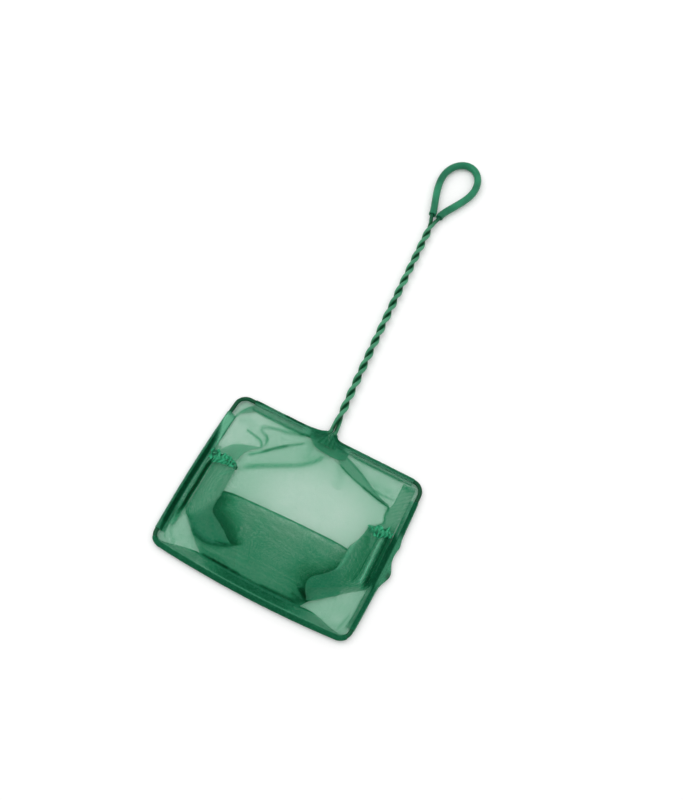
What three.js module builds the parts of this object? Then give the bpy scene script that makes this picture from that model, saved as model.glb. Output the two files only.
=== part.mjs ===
// A small aquarium fish net lying flat with its mouth up and its handle along +Y.
// Coated wire is bent into a rectangular hoop and twisted into a handle, a vinyl tube sleeves the
// hanging loop, and a mesh bag is hemmed round the hoop and folded back on itself inside it.
// Units are millimetres and +Z is up. The model is built about the middle of the hoop.
import * as THREE from "three";

// Wire
const WIRE_DIAMETER = 3.0;
const WIRE_JOIN_GAP = 0.3; // between two lengths of the wire
const STRAND_CLEARANCE = 0.3; // between the two twisted strands

// Hoop, measured over the wire
const HOOP_WIDTH = 150;
const HOOP_DEPTH = 128;
const HOOP_CORNER_RADIUS = 9.5; // outside of the wire
const SIDE_BOW = 1.3; // how far each side bar bends outward
const FAR_BOW = 2.8;
const NECK_HEIGHT = 7; // where the strands leave the hoop's bar, above its centreline
const NECK_LEVEL = 2; // the wire stays flat to this height above the bar
const NECK_FLARE_LEFT = 24;
const NECK_FLARE_RIGHT = 9;

// Handle
const NECK_OFFSET = -1.8; // the neck sits a little left of the hoop's middle
const HANDLE_LENGTH = 214.5; // twisted length, from the neck to the foot of the loop
const HANDLE_LEAN = 3.8; // degrees, toward the left
const HANDLE_BOW = 0.9;
const HALF_TWISTS = 16;
const TWIST_EASE = 0.082; // share of the handle over which the twist starts and stops
const FOOT_SPREAD_LENGTH = 9; // where the strands part to enter the loop's tube

// Hanging loop and its tube
const TUBE_DIAMETER = 6.0;
const TUBE_WALL = 1.2;
const TUBE_CLEARANCE = 0.3; // between the two feet of the tube
const LOOP_WIDTH = 35; // over the tube
const LOOP_LENGTH = 65.1; // from its foot to its top, over the tube
const LOOP_WIDEST = 41; // above its foot
const LOOP_TILT = 4.2; // degrees, toward the right
const LEG_STRAIGHT = 0.2; // shares of the loop's legs that pull its curve straight and out
const LEG_SWELL = 0.38;
const ROUNDNESS = 0.55; // pulls a quarter of the head to a circle's arc

// Hems, folded over the wire with their edge stitched on the inboard side
const HEM_PLY = 0.5;
const HEM_CLEARANCE = 0.3;
const HEM_EDGE = 1.2; // thickness at the stitched edge
const HANDLE_HEM_REACH = 5.0; // from the wire's centreline to the stitched edge
const FAR_HEM_REACH = 9.5;
const LEFT_HEM_REACH = 7.5;
const RIGHT_HEM_REACH = 5.5;
const NECK_BARE_LEFT = 10; // bare wire from the neck to the hem
const NECK_BARE_RIGHT = 10;
const HANDLE_CORNER_BARE_LEFT = 14; // bare wire between the hem and the corner's bend
const HANDLE_CORNER_BARE_RIGHT = 2;
const LEFT_HEM_BARE_NEAR = 14;
const RIGHT_HEM_BARE_NEAR = 6;
const FAR_CORNER_BARE = 3;

// Mesh bag
const CLOTH = 0.6;
const CLOTH_GAP = 0.3; // between two layers of cloth
const FOLD_FRONT = -9; // where the pocket's lip stands, from the hoop's middle
const FOLD_WIDTH = 94;
const FOLD_HEIGHT = 8.6; // of the pocket's lip, at the middle
const FOLD_RADIUS = 0.6;
const SEAM_WIDTH = 80; // bottom seam
const SEAM_INSET = 3.5; // of the bottom seam, from the far hem
const LIP_SHARPNESS = 6; // how squarely the pocket's arch drops at its ends
const FLARE_FRONT = -22; // where the far panel starts to spread toward the hoop's corners
const CHAMFER_LEFT = -34; // where the handle panel's left corner is cut off
const CHAMFER_RIGHT = -25;
const GUSSET_WIDTH_LEFT = 17;
const GUSSET_WIDTH_RIGHT = 23;
const GUSSET_TOP_LEFT = 12;
const GUSSET_TOP_RIGHT = 18;
const GUSSET_RISE = 3.2; // of a gusset's folded edge

// Gathered ends of the side seams
const TACK_LENGTH = 20;
const TACK_WIDTH = 8;
const TACK_THICKNESS = 3.4;
const TACK_PLEATS = 7;
const TACK_PLEAT_DEPTH = 0.12; // share of the radius

// Facets
const WIRE_SIDES = 8;
const TUBE_SIDES = 10;
const STEPS_PER_TURN = 10;
const HOOP_STEPS = 72;
const LOOP_STEPS = 44;
const HEM_STEPS = 12;
const OVER_ROWS = 9; // rows of cloth facets over the pocket, and again back under it
const LIP_ROWS = 6; // round the pocket's lip
const POCKET_COLUMNS = 16;
const PANEL_ROWS = 12;
const PANEL_COLUMNS = 2;
const GUSSET_ROWS = 14;
const GUSSET_COLUMNS = 4;
const TACK_RINGS = 10;
const SIDES_PER_PLEAT = 4;

const wireRadius = WIRE_DIAMETER / 2;
const tubeRadius = TUBE_DIAMETER / 2;
const strandSpacing = WIRE_DIAMETER + STRAND_CLEARANCE;
const pairRadius = strandSpacing / 2 + wireRadius;
const hemRadius = wireRadius + HEM_CLEARANCE + HEM_PLY;
const wireHeight = hemRadius;
const pairHeight = Math.max(pairRadius, tubeRadius);
const barX = HOOP_WIDTH / 2 - wireRadius;
const barY = HOOP_DEPTH / 2 - wireRadius;
const cornerRadius = HOOP_CORNER_RADIUS - wireRadius;
const neckY = barY + NECK_HEIGHT;
const footSpacing = TUBE_DIAMETER + TUBE_CLEARANCE;

const LEFT = -1;
const RIGHT = 1;

const material = (name, color, roughness, metalness = 0) =>
  new THREE.MeshStandardMaterial({ name, color, roughness, metalness });
const coatedWire = material("coated_wire", 0x1f6b43, 0.28);
const vinylTube = material("vinyl_tube", 0x2b8a5f, 0.3);
const hemMesh = material("hem_mesh", 0x2c7a52, 0.8);
const bagMesh = material("bag_mesh", 0x5a9c7c, 0.8);
const tackThread = material("tack_thread", 0x2f9468, 0.7);

const mix = (a, b, share) => a + (b - a) * share;
const clampShare = (share) => Math.min(Math.max(share, 0), 1);
const smooth = (share) => {
  const s = clampShare(share);
  return s * s * (3 - 2 * s);
};

/** A curve given by a function of its share of length, 0 to 1. */
class FormulaCurve extends THREE.Curve {
  constructor(point) {
    super();
    this.point = point;
  }
  getPoint(t, target = new THREE.Vector3()) {
    return target.copy(this.point(t));
  }
}

/** The same curve, shortened by a length at its start and its end. */
function shortened(curve, startCut, endCut) {
  const length = curve.getLength();
  return new FormulaCurve((t) =>
    curve.getPointAt(mix(startCut / length, 1 - endCut / length, t)),
  );
}

/** A round bar or, with a bore radius, a round tube along a curve. */
function round(curve, radius, steps, sides, bore = 0) {
  const section = new THREE.Shape();
  section.absarc(0, 0, radius, 0, 2 * Math.PI);
  if (bore) {
    const hole = new THREE.Path();
    hole.absarc(0, 0, bore, 0, 2 * Math.PI, true);
    section.holes.push(hole);
  }
  return new THREE.ExtrudeGeometry(section, {
    steps,
    curveSegments: sides / 2, // counted per half circle
    bevelEnabled: false,
    extrudePath: curve,
  });
}

/** Twist angle at a share of the handle: it starts and stops gently. */
function twist(share) {
  const e = TWIST_EASE;
  const ramp = (s) => (s * s) / (2 * e * (1 - e));
  let eased = (share - e / 2) / (1 - e);
  if (share < e) eased = ramp(share);
  if (share > 1 - e) eased = 1 - ramp(1 - share);
  return HALF_TWISTS * Math.PI * eased;
}

/** The handle's axis, which leans to the left and bows a little. */
function handleAxis(share) {
  const lean = HANDLE_LENGTH * Math.sin(THREE.MathUtils.degToRad(HANDLE_LEAN));
  const rise = HANDLE_LENGTH * Math.cos(THREE.MathUtils.degToRad(HANDLE_LEAN));
  const bow = 4 * HANDLE_BOW * share * (1 - share);
  return new THREE.Vector3(NECK_OFFSET - lean * share - bow, neckY + rise * share, pairHeight);
}

/** One strand of the twisted pair, which is right-handed. */
const strandCurve = (side) =>
  new FormulaCurve((share) => {
    const fromFoot = (1 - share) * HANDLE_LENGTH;
    const spread = smooth(1 - fromFoot / FOOT_SPREAD_LENGTH);
    const radius = mix(strandSpacing, footSpacing, spread) / 2;
    const angle = twist(share) + (side === LEFT ? Math.PI : 0);
    const axis = handleAxis(share);
    axis.x += radius * Math.cos(angle);
    axis.z -= radius * Math.sin(angle);
    return axis;
  });

// The hoop's curves, in their order along its wire from the left strand at the neck to the right one
const HOOP_CURVES = [
  "left flare",
  "left handle bar",
  "near left corner",
  "left bar",
  "far left corner",
  "far bar",
  "far right corner",
  "right bar",
  "near right corner",
  "right handle bar",
  "right flare",
];

/** The hoop's plan, counter-clockwise, as the curves of HOOP_CURVES. */
function hoopPlan() {
  const nearX = barX - cornerRadius;
  const nearY = barY - cornerRadius;
  const leftStrand = NECK_OFFSET - strandSpacing / 2;
  const rightStrand = NECK_OFFSET + strandSpacing / 2;
  const path = new THREE.Path();
  path.moveTo(leftStrand, neckY);
  path.quadraticCurveTo(leftStrand, barY, leftStrand - NECK_FLARE_LEFT, barY);
  path.lineTo(-nearX, barY);
  path.absarc(-nearX, nearY, cornerRadius, Math.PI / 2, Math.PI);
  path.quadraticCurveTo(-barX - 2 * SIDE_BOW, 0, -barX, -nearY);
  path.absarc(-nearX, -nearY, cornerRadius, Math.PI, 1.5 * Math.PI);
  path.quadraticCurveTo(0, -barY - 2 * FAR_BOW, nearX, -barY);
  path.absarc(nearX, -nearY, cornerRadius, 1.5 * Math.PI, 2 * Math.PI);
  path.quadraticCurveTo(barX + 2 * SIDE_BOW, 0, barX, nearY);
  path.absarc(nearX, nearY, cornerRadius, 0, Math.PI / 2);
  path.lineTo(rightStrand + NECK_FLARE_RIGHT, barY);
  path.quadraticCurveTo(rightStrand, barY, rightStrand, neckY);
  return path;
}

const hoop = hoopPlan();
const curveEnds = hoop.getCurveLengths(); // measured along the hoop
const endOf = (curveName) => curveEnds[HOOP_CURVES.indexOf(curveName)];
const startOf = (curveName) => curveEnds[HOOP_CURVES.indexOf(curveName) - 1] ?? 0;
const hoopLength = hoop.getLength();
const farMiddle = (startOf("far bar") + endOf("far bar")) / 2;

/** A stretch of the hoop between two distances along it. */
const hoopStretch = (from, to, height) =>
  new FormulaCurve((t) => {
    const p = hoop.getPoint(clampShare(mix(from, to, t) / hoopLength));
    return new THREE.Vector3(p.x, p.y, height(p.y));
  });

/** The wire climbs from the hoop's height to the handle's as it leaves the bar at the neck. */
const neckClimb = (y) =>
  mix(wireHeight, pairHeight, smooth((y - barY - NECK_LEVEL) / (NECK_HEIGHT - NECK_LEVEL)));

/**
 * The teardrop loop, from its right foot over the top to its left foot. Its legs leave along the
 * handle and its head is tilted the other way.
 */
function loopCurve() {
  const halfWidth = LOOP_WIDTH / 2 - tubeRadius;
  const top = LOOP_LENGTH - tubeRadius;
  const shoulder = mix(LOOP_WIDEST, top, ROUNDNESS);
  const turn = THREE.MathUtils.degToRad(-LOOP_TILT);
  const foot = handleAxis(1);
  const heading = foot.clone().sub(handleAxis(0.99)).normalize();
  const inLoop = (x, y) =>
    new THREE.Vector3(x, y, 0).applyAxisAngle(new THREE.Vector3(0, 0, 1), turn).add(foot);
  const path = new THREE.CurvePath();
  const leg = (side) => {
    const start = foot.clone();
    start.x += (side * footSpacing) / 2;
    return [
      start,
      start.clone().addScaledVector(heading, LEG_STRAIGHT * LOOP_WIDEST),
      inLoop(side * halfWidth, (1 - LEG_SWELL) * LOOP_WIDEST),
      inLoop(side * halfWidth, LOOP_WIDEST),
    ];
  };
  const head = (side) => [
    inLoop(side * halfWidth, LOOP_WIDEST),
    inLoop(side * halfWidth, shoulder),
    inLoop(side * halfWidth * ROUNDNESS, top),
    inLoop(0, top),
  ];
  path.add(new THREE.CubicBezierCurve3(...leg(RIGHT)));
  path.add(new THREE.CubicBezierCurve3(...head(RIGHT)));
  path.add(new THREE.CubicBezierCurve3(...head(LEFT).reverse()));
  path.add(new THREE.CubicBezierCurve3(...leg(LEFT).reverse()));
  return path;
}

/** A hem's section: a sleeve round the wire whose two plies close on a flat, stitched edge. */
function hemSection(reach) {
  // In the section's own axes x points down from the wire and y points inboard.
  const distance = Math.hypot(reach, hemRadius - HEM_EDGE);
  const edgeAngle = Math.atan2(HEM_EDGE - wireHeight, reach);
  const leaving = edgeAngle + Math.acos(hemRadius / distance);
  const section = new THREE.Shape();
  section.moveTo(wireHeight, reach);
  section.lineTo(wireHeight - HEM_EDGE, reach);
  section.absarc(0, 0, hemRadius, Math.PI / 2 + leaving, 2 * Math.PI, false);
  const bore = new THREE.Path();
  bore.absarc(0, 0, wireRadius + HEM_CLEARANCE, 0, 2 * Math.PI, true);
  section.holes.push(bore);
  return section;
}

/** A hem over the hoop's curves from one to another, with bare wire left at its two ends. */
function hem(firstCurve, lastCurve, bareStart, bareEnd, reach) {
  const path = hoopStretch(
    startOf(firstCurve) + bareStart,
    endOf(lastCurve) - bareEnd,
    () => wireHeight,
  );
  return new THREE.ExtrudeGeometry(hemSection(reach), {
    steps: HEM_STEPS,
    curveSegments: WIRE_SIDES / 2,
    bevelEnabled: false,
    extrudePath: path,
  });
}

/** A thin closed solid of even thickness about rows of points on the cloth's middle surface. */
function cloth(rows) {
  const down = rows.length;
  const across = rows[0].length;
  const at = (i, j) => rows[Math.min(Math.max(i, 0), down - 1)][Math.min(Math.max(j, 0), across - 1)];
  const positions = [];
  for (const side of [1, -1]) {
    for (let i = 0; i < down; i++) {
      for (let j = 0; j < across; j++) {
        const along = at(i + 1, j).clone().sub(at(i - 1, j));
        const over = at(i, j + 1).clone().sub(at(i, j - 1));
        const normal = over.cross(along).normalize();
        positions.push(...at(i, j).clone().addScaledVector(normal, (side * CLOTH) / 2));
      }
    }
  }
  const top = (i, j) => i * across + j;
  const under = (i, j) => down * across + top(i, j);
  const faces = [];
  const quad = (a, b, c, d) => faces.push(a, b, c, a, c, d);
  for (let i = 0; i + 1 < down; i++) {
    for (let j = 0; j + 1 < across; j++) {
      quad(top(i, j), top(i, j + 1), top(i + 1, j + 1), top(i + 1, j));
      quad(under(i, j), under(i + 1, j), under(i + 1, j + 1), under(i, j + 1));
    }
    const last = across - 1;
    quad(top(i, 0), top(i + 1, 0), under(i + 1, 0), under(i, 0));
    quad(top(i + 1, last), top(i, last), under(i, last), under(i + 1, last));
  }
  for (let j = 0; j + 1 < across; j++) {
    const last = down - 1;
    quad(top(0, j + 1), top(0, j), under(0, j), under(0, j + 1));
    quad(top(last, j), top(last, j + 1), under(last, j + 1), under(last, j));
  }
  const geometry = new THREE.BufferGeometry();
  geometry.setAttribute("position", new THREE.Float32BufferAttribute(positions, 3));
  geometry.setIndex(faces);
  geometry.computeVertexNormals();
  return geometry;
}

/** Rows of points: each row runs from left to right at one place down the cloth. */
function rowsOf(down, across, point) {
  const row = (v) => Array.from({ length: across + 1 }, (_, j) => point(j / across, v));
  return Array.from({ length: down + 1 }, (_, i) => row(i / down));
}

const floorLayer = CLOTH / 2;
const secondLayer = floorLayer + CLOTH + CLOTH_GAP;
const thirdLayer = secondLayer + CLOTH + CLOTH_GAP;

/** How far a bar has bowed outward at a place along it. */
const bowAt = (bow, place, halfBar) => bow * Math.max(1 - (place / halfBar) ** 2, 0);

// Where the bag meets each hem, following the bar's bow.
const handleEdge = barY - HANDLE_HEM_REACH - CLOTH_GAP;
const farEdge = (x) =>
  -barY - bowAt(FAR_BOW, x, barX - cornerRadius) + FAR_HEM_REACH + CLOTH_GAP;
const leftEdge = (y) =>
  -barX - bowAt(SIDE_BOW, y, barY - cornerRadius) + LEFT_HEM_REACH + CLOTH_GAP;
const rightEdge = (y) =>
  barX + bowAt(SIDE_BOW, y, barY - cornerRadius) - RIGHT_HEM_REACH - CLOTH_GAP;
const seamY = farEdge(barX) + SEAM_INSET;

/** The panel sewn to the handle-side hem: it lies on the floor and runs down to the bottom seam. */
function handlePanel() {
  const cut = (edge, start, y) =>
    mix(edge, (Math.sign(edge) * SEAM_WIDTH) / 2, clampShare((start - y) / (start - seamY)));
  return cloth(
    rowsOf(PANEL_ROWS, PANEL_COLUMNS, (u, v) => {
      const y = mix(handleEdge, seamY, v);
      const left = cut(leftEdge(y), CHAMFER_LEFT, y);
      const right = cut(rightEdge(y), CHAMFER_RIGHT, y);
      return new THREE.Vector3(mix(left, right, u), y, floorLayer);
    }),
  );
}

/** The far panel's side edge on the top layer: it spreads to the hoop's corners at the far hem. */
function farPanelSide(edge, y) {
  const spread = clampShare((FLARE_FRONT - y) / (FLARE_FRONT - farEdge(barX)));
  return mix((Math.sign(edge) * FOLD_WIDTH) / 2, edge, spread);
}

/** How high the pocket's arch stands across it: flat over the middle, down to 0 at its ends. */
const arch = (u) => 1 - Math.abs(2 * u - 1) ** LIP_SHARPNESS;
const quarterWave = (share) => Math.sin((Math.PI / 2) * share);

/**
 * The panel sewn to the far hem: it comes forward over the bag, folds under at the pocket's lip
 * and runs back to the bottom seam, so a pocket stays open between it and the handle panel.
 */
function farPanel() {
  const row = (point) =>
    Array.from({ length: POCKET_COLUMNS + 1 }, (_, j) => point(j / POCKET_COLUMNS));
  const over = (s) =>
    row((u) => {
      const y = mix(farEdge(barX), FOLD_FRONT, s);
      const x = mix(farPanelSide(leftEdge(y), y), farPanelSide(rightEdge(y), y), u);
      const low = mix(secondLayer, thirdLayer, clampShare(s * OVER_ROWS));
      const high = mix(secondLayer, FOLD_HEIGHT, quarterWave(s));
      return new THREE.Vector3(x, mix(farEdge(x), FOLD_FRONT, s), mix(low, high, arch(u)));
    });
  const lip = (angle) =>
    row((u) => {
      const bend = Math.sin(angle);
      const low = mix(secondLayer, thirdLayer, (1 + bend) / 2);
      const high = FOLD_HEIGHT - FOLD_RADIUS * (1 - bend);
      const y = FOLD_FRONT + FOLD_RADIUS * Math.cos(angle);
      return new THREE.Vector3(FOLD_WIDTH * (u - 0.5), y, mix(low, high, arch(u)));
    });
  const back = (s) =>
    row((u) => {
      const width = mix(FOLD_WIDTH, SEAM_WIDTH, s);
      const high = mix(secondLayer, FOLD_HEIGHT - 2 * FOLD_RADIUS, quarterWave(1 - s));
      const y = mix(FOLD_FRONT, seamY, s);
      return new THREE.Vector3(width * (u - 0.5), y, mix(secondLayer, high, arch(u)));
    });
  const rows = [];
  for (let i = 0; i < OVER_ROWS; i++) rows.push(over(i / OVER_ROWS));
  for (let i = 0; i <= LIP_ROWS; i++) rows.push(lip(Math.PI * (0.5 - i / LIP_ROWS)));
  for (let i = 1; i <= OVER_ROWS; i++) rows.push(back(i / OVER_ROWS));
  return cloth(rows);
}

/** A side fold of the bag, from a side hem's edge in to its folded edge beside the pocket. */
function gusset(side, width, topY) {
  const hemEdge = side === LEFT ? leftEdge : rightEdge;
  const endY = farEdge(barX) + CLOTH_GAP;
  return cloth(
    rowsOf(GUSSET_ROWS, GUSSET_COLUMNS, (u, v) => {
      const y = mix(topY, endY, v);
      const edge = hemEdge(y);
      const panel = farPanelSide(edge, y) + side * (CLOTH + CLOTH_GAP);
      const inner = side * Math.max(Math.abs(edge - side * width), Math.abs(panel));
      const share = side === LEFT ? u : 1 - u;
      const reach = Math.max(Math.abs(edge - inner), 0) / width;
      return new THREE.Vector3(mix(edge, inner, share), y, secondLayer + GUSSET_RISE * reach * share);
    }),
  );
}

/** A pleated bundle of cloth where a side seam is gathered and tacked. */
function seamTack() {
  const rings = TACK_RINGS;
  const sides = SIDES_PER_PLEAT * TACK_PLEATS;
  const positions = [-TACK_LENGTH / 2, 0, 0];
  for (let i = 1; i < rings; i++) {
    const along = (Math.PI * i) / rings;
    const swell = Math.sin(along) ** 0.6;
    for (let j = 0; j < sides; j++) {
      const angle = (2 * Math.PI * j) / sides;
      const pleat = 1 - TACK_PLEAT_DEPTH * (1 + Math.cos(TACK_PLEATS * angle)) * 0.5;
      positions.push(
        (-TACK_LENGTH / 2) * Math.cos(along),
        (TACK_WIDTH / 2) * swell * pleat * Math.cos(angle),
        (TACK_THICKNESS / 2) * swell * pleat * Math.sin(angle),
      );
    }
  }
  positions.push(TACK_LENGTH / 2, 0, 0);
  const last = positions.length / 3 - 1;
  const ring = (i, j) => 1 + (i - 1) * sides + (j % sides);
  const faces = [];
  for (let j = 0; j < sides; j++) {
    faces.push(0, ring(1, j + 1), ring(1, j));
    faces.push(last, ring(rings - 1, j), ring(rings - 1, j + 1));
    for (let i = 1; i + 1 < rings; i++) {
      faces.push(ring(i, j), ring(i, j + 1), ring(i + 1, j + 1));
      faces.push(ring(i, j), ring(i + 1, j + 1), ring(i + 1, j));
    }
  }
  const geometry = new THREE.BufferGeometry();
  geometry.setAttribute("position", new THREE.Float32BufferAttribute(positions, 3));
  geometry.setIndex(faces);
  geometry.computeVertexNormals();
  return geometry;
}

const net = new THREE.Group();
net.name = "fish_net";

function add(name, geometry, itsMaterial) {
  const mesh = new THREE.Mesh(geometry, itsMaterial);
  mesh.name = name;
  net.add(mesh);
  return mesh;
}

const halfGap = WIRE_JOIN_GAP / 2;
const hoopLeft = hoopStretch(halfGap, farMiddle - halfGap, neckClimb);
const hoopRight = hoopStretch(farMiddle + halfGap, hoopLength - halfGap, neckClimb);
add("hoop_wire_left", round(hoopLeft, wireRadius, HOOP_STEPS, WIRE_SIDES), coatedWire);
add("hoop_wire_right", round(hoopRight, wireRadius, HOOP_STEPS, WIRE_SIDES), coatedWire);
const strandSteps = Math.round((HALF_TWISTS / 2) * STEPS_PER_TURN);
for (const [name, side] of [
  ["handle_strand_left", LEFT],
  ["handle_strand_right", RIGHT],
]) {
  const strand = shortened(strandCurve(side), halfGap, halfGap);
  add(name, round(strand, wireRadius, strandSteps, WIRE_SIDES), coatedWire);
}
const loop = loopCurve();
const loopWire = shortened(loop, halfGap, halfGap);
add("loop_wire", round(loopWire, wireRadius, LOOP_STEPS, WIRE_SIDES), coatedWire);
const tubeBore = tubeRadius - TUBE_WALL;
add("grip_tube", round(loop, tubeRadius, LOOP_STEPS, TUBE_SIDES, tubeBore), vinylTube);

const leftHandleHem = hem(
  "left flare",
  "left handle bar",
  NECK_BARE_LEFT,
  HANDLE_CORNER_BARE_LEFT,
  HANDLE_HEM_REACH,
);
add("handle_side_hem_left", leftHandleHem, hemMesh);
const rightHandleHem = hem(
  "right handle bar",
  "right flare",
  HANDLE_CORNER_BARE_RIGHT,
  NECK_BARE_RIGHT,
  HANDLE_HEM_REACH,
);
add("handle_side_hem_right", rightHandleHem, hemMesh);
const leftHem = hem("left bar", "left bar", LEFT_HEM_BARE_NEAR, FAR_CORNER_BARE, LEFT_HEM_REACH);
add("left_hem", leftHem, hemMesh);
const rightHem = hem("right bar", "right bar", FAR_CORNER_BARE, RIGHT_HEM_BARE_NEAR, RIGHT_HEM_REACH);
add("right_hem", rightHem, hemMesh);
const farHem = hem("far bar", "far bar", FAR_CORNER_BARE, FAR_CORNER_BARE, FAR_HEM_REACH);
add("far_hem", farHem, hemMesh);

add("handle_panel", handlePanel(), bagMesh);
add("far_panel", farPanel(), bagMesh);
add("left_gusset", gusset(LEFT, GUSSET_WIDTH_LEFT, GUSSET_TOP_LEFT), bagMesh);
add("right_gusset", gusset(RIGHT, GUSSET_WIDTH_RIGHT, GUSSET_TOP_RIGHT), bagMesh);

/** Sets a tack on the top end of a gusset, along its slope. */
function placeTack(mesh, edge, side, width, topY) {
  const slope = Math.atan2(GUSSET_RISE, width);
  const along = TACK_LENGTH / 2;
  const above = CLOTH / 2 + CLOTH_GAP + TACK_THICKNESS / 2;
  mesh.position.set(
    edge - side * along * Math.cos(slope),
    topY,
    secondLayer + along * Math.sin(slope) + above / Math.cos(slope),
  );
  mesh.rotation.y = side * slope;
}
const leftTack = add("left_seam_tack", seamTack(), tackThread);
placeTack(leftTack, leftEdge(GUSSET_TOP_LEFT), LEFT, GUSSET_WIDTH_LEFT, GUSSET_TOP_LEFT);
const rightTack = add("right_seam_tack", seamTack(), tackThread);
placeTack(rightTack, rightEdge(GUSSET_TOP_RIGHT), RIGHT, GUSSET_WIDTH_RIGHT, GUSSET_TOP_RIGHT);

// The origin goes to the middle of the underside of the whole net's box.
const box = new THREE.Box3().setFromObject(net, true);
const middle = box.getCenter(new THREE.Vector3());
net.position.set(-middle.x, -middle.y, -box.min.z);

export default net;
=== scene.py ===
import math

import bmesh
import bpy
import numpy as np
from mathutils import Matrix, Vector, noise


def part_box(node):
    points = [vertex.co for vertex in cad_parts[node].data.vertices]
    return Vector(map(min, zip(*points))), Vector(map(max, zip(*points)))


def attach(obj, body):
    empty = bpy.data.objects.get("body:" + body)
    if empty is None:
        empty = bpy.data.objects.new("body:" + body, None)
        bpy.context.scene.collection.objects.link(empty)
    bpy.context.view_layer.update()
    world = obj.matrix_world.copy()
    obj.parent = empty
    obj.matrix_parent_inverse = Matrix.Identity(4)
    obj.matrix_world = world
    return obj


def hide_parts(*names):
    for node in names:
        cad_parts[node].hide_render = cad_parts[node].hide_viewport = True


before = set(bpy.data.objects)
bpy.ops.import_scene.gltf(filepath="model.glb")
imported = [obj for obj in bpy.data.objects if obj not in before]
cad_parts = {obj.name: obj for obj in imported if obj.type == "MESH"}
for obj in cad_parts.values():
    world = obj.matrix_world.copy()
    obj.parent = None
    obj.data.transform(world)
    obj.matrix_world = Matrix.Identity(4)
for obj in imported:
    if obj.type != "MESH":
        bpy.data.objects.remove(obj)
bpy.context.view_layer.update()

# Sizes below are in millimetres, measured from the middle of the hoop
MM = 0.001

# Wire
WIRE_RADIUS = 1.5
STRAND_SPACING = 3.3
COAT_SPACING = 2.95  # between the strands where their coats have run together
WIRE_HEIGHT = 2.3
GROOVE_SHADE_START = -0.4  # how much a strand faces the other where its painted shade starts, from -1 to 1
GROOVE_SHADE_WIDTH = 0.6  # how much more it faces it where the painted shade is darkest
PAIR_SHADE = (-6.0, 4.0)  # from the neck, where the coat turns paler
LOOP_SHADE = (0.93, 0.98)  # share of the handle, where it turns dark again
PAIR_HEIGHT = 3.15
BAR_X = 73.5
BAR_Y = 62.5
CORNER_RADIUS = 8.0
SIDE_BOW = 1.3
FAR_BOW = 2.8
NECK_Y = 69.5
NECK_LEVEL = 2.0
NECK_FLARE_LEFT = 24.0
NECK_FLARE_RIGHT = 9.0
NECK_OFFSET = -1.8

# Handle and hanging loop
HANDLE_LENGTH = 214.5
HANDLE_LEAN = math.radians(3.8)
HANDLE_BOW = 0.9
HALF_TWISTS = 16
TWIST_EASE = 0.082
FOOT_SPREAD_LENGTH = 9.0
FOOT_SPACING = 6.3
TUBE_RADIUS = 3.0
TUBE_WALL = 1.2
LOOP_HALF_WIDTH = 14.5
LOOP_TOP = 62.1
LOOP_WIDEST = 41.0
LOOP_TILT = math.radians(4.2)
LEG_STRAIGHT = 0.2
LEG_SWELL = 0.38
ROUNDNESS = 0.55

# Hems and mesh
HEM_RADIUS = 1.85
HEM_EDGE_HEIGHT = 1.2
HEM_TAPER = 0.22  # share of a hem's length over which its end narrows
HEM_STEP = 0.8  # between its vertices along the bar
STITCH_PITCH = 3.0
STITCH_LENGTH = 2.1
STITCH_RADIUS = 0.22
STITCH_HEIGHT = 1.35
WELD_WITHIN = 0.00001  # metres
MESH_CELL = 0.00062  # metres between two threads of the mesh
THREAD_SHARE = 0.3  # of a cell that its thread covers
THROUGH_SHARE = 0.65  # of a thread's light that goes through it
MOST_PLIES = 8.0
UNEVEN = [(320.0, 0.1), (700.0, 0.4)]  # how fine and how strong the mesh's unevenness is
THREAD_SENDS_BACK = [(0.0, (0.085, 0.40, 0.235)), (0.1, (0.05, 0.42, 0.23)), (0.25, (0.03, 0.30, 0.15)),
                     (0.45, (0.01, 0.19, 0.085)), (0.7, (0.003, 0.09, 0.035)), (1.0, (0.001, 0.04, 0.012))]
THREAD_LETS_THROUGH = [(0.0, (0.37, 0.57, 0.45)), (0.1, (0.29, 0.505, 0.38)), (0.25, (0.12, 0.45, 0.27)),
                       (0.45, (0.045, 0.27, 0.145)), (0.7, (0.012, 0.13, 0.055)), (1.0, (0.002, 0.06, 0.02))]
CREASE_LIGHT = (0.18, 0.54, 0.34)  # painted highlight colour of cloth pulled tight
# Painted highlight colour of the tacks' gathered cloth
GATHER_LIGHT = (0.045, 0.44, 0.22)
SEAM_HEIGHT = 2.1  # of the pocket's upper ply beside its seam and the side folds
POCKET_RISE = 6.3  # of its middle above them
UNDER_HEIGHT = 1.3  # of the pocket's lower ply at the seam
PLY_HEIGHT = 1.0
TURN_START = 0.5  # share of the far panel's length where it turns under at the lip
TURN_END = 0.54
CORNER_BOTTOM = -62.6  # where the sides of the bag end under the far hem
TIES = 6  # of thread round each tack
TIE_HALF_LENGTH = 1.6
TIE_RADIUS = 0.28
TIE_HEIGHT = 5.0

# Camera, as found from the photograph
CAMERA_PLACE = (81.07, -241.91)
CAMERA_ABOVE_WIRE = 662.51
CAMERA_RIGHT = (0.88982751, 0.44384704, 0.10586219)
CAMERA_UP = (-0.4404227, 0.77477393, 0.45360026)
CAMERA_BACK = (0.11930987, -0.4502501, 0.88489547)
LENS = 46.04

# Floor and light, in metres
SKY = 0.87  # strength of the light from all round, which itself is seen as white
FLOOR_HALF = 6.0
FLOOR_DROP = 0.0002
GLOW_FROM = (0.4, 0.06)  # how far from the net, and the floor's own light there
GLOW_TO = (2.4, 0.22)
# Each has a name, a place, a size and a power
SOFTBOXES = [("softbox_left", (-0.6, 0.05, 0.85), 0.75, 2.6), ("softbox_far", (0.5, 0.7, 0.9), 0.9, 1.0)]

LEFT = -1
RIGHT = 1

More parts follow.
